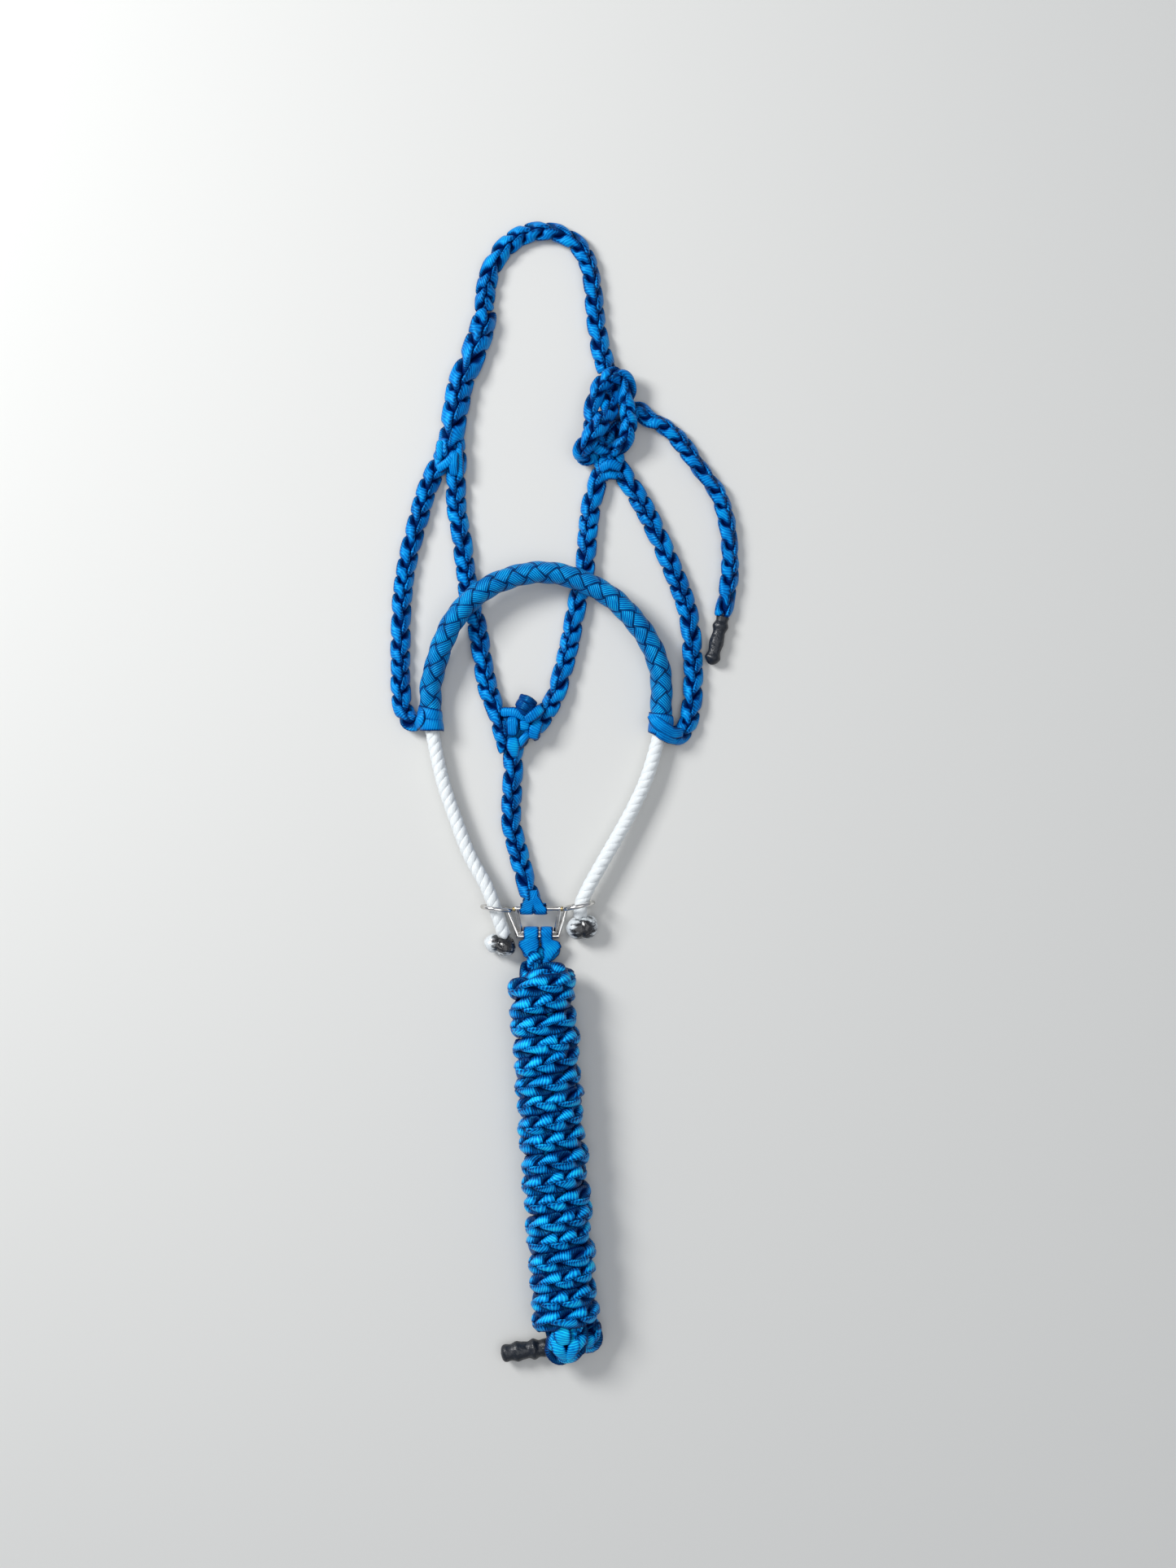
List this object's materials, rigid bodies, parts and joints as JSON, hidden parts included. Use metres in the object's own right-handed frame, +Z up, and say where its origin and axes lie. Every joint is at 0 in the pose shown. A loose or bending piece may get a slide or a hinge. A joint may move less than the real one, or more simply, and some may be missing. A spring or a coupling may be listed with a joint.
{
  "type": "rope halter",
  "caption": "Horse halter of braided flat tape with a laid-rope nose piece, ring and dee hardware, and a lead rope tied up in a hank.",
  "frame": {"origin": "on the surface it lies on, below the middle of the halter without its lead and its free tie end", "axes": "+Z up off the surface, +Y from the lead to the poll, +X to the side where the crown strap is tied"},
  "size_m": [0.248, 0.8112, 0.0341],
  "materials": {
    "tape_blue": "satin woven polyester tape, ribbed lengthwise",
    "rope_white": "stiff laid rope, slightly waxy",
    "burnt_rope": "melted and scorched rope end",
    "dip_black": "dipped, lumpy, half gloss",
    "nickel_wire": "bright nickel plate",
    "braze": "rough braze metal"
  },
  "bodies": {
    "halter": {"crown_strap": "tape_blue", "crown_splice": "tape_blue", "left_cheek_strap": "tape_blue", "left_throat_strap": "tape_blue", "right_cheek_strap": "tape_blue", "right_throat_strap": "tape_blue", "right_splice": "tape_blue", "tie_eye": "tape_blue", "crown_hitch": "tape_blue", "tie_tail": "tape_blue", "tie_tail_tip": "dip_black", "throat_knot": "tape_blue", "throat_knot_ball": "tape_blue", "stem_strap": "tape_blue", "stem_loop": "tape_blue", "nose_rope": "rope_white", "nose_cover": "tape_blue", "left_nose_wrap": "tape_blue", "right_nose_wrap": "tape_blue", "left_rope_stop": "burnt_rope", "right_rope_stop": "burnt_rope"},
    "hardware": {"left_ring": "nickel_wire", "right_ring": "nickel_wire", "inner_dee": "nickel_wire", "outer_dee": "nickel_wire", "left_braze": "braze", "right_braze": "braze"},
    "lead": {"lead_loop_left": "tape_blue", "lead_loop_right": "tape_blue", "lead_neck": "tape_blue", "lead_hank": "tape_blue", "lead_bight": "tape_blue", "lead_end": "tape_blue", "lead_tip": "dip_black"}
  },
  "joints": [
    {"name": "hardware_swing", "type": "hinge", "parent": "halter", "child": "hardware", "pos_m": [-0.006, -0.2265, 0.0125], "axis": [-1, 0, 0], "range_deg": [0, 25]},
    {"name": "lead_swing", "type": "hinge", "parent": "hardware", "child": "lead", "pos_m": [-0.006, -0.24515, 0.00557], "axis": [-1, 0, 0], "range_deg": [0, 90]}
  ]
}
